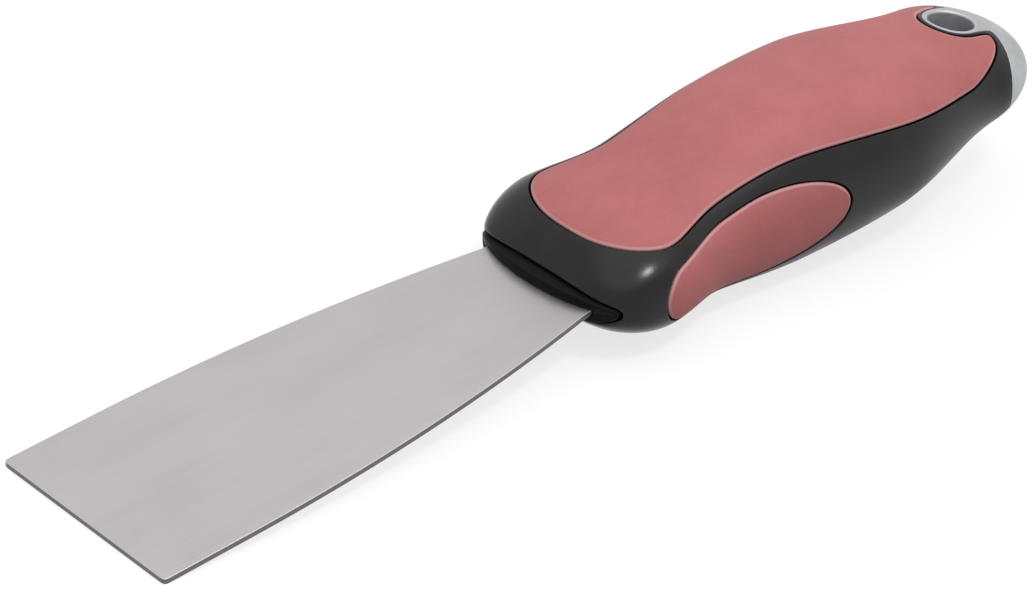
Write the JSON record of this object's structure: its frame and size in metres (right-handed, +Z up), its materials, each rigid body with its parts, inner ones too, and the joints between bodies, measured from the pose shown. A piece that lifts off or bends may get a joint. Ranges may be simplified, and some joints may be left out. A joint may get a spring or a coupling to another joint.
{
  "type": "putty knife",
  "caption": "Putty knife with a flared flat steel blade, a swelling black grip with red soft pads and a metal butt cap with a hang hole.",
  "frame": {"origin": "under the middle of the tool's length, at the height of the belly, the lowest place of the grip", "axes": "+X along the tool from the blade to the butt, +Z up, square to the blade's flats, with the blade level"},
  "size_m": [0.1985, 0.0382, 0.0284],
  "materials": {
    "blade_steel": "satin",
    "grip_black": "gloss",
    "core_black": "matte",
    "pad_red": "matte",
    "cap_metal": "satin",
    "fastener_steel": "satin"
  },
  "bodies": {
    "root": {"blade": "blade_steel", "core_upper": "core_black", "core_lower": "core_black", "core_rivets": "fastener_steel", "grip_shell": "grip_black", "upper_pad": "pad_red", "lower_pad": "pad_red", "left_pad": "pad_red", "right_pad": "pad_red", "butt_cap": "cap_metal", "cap_pin": "fastener_steel"}
  },
  "joints": []
}
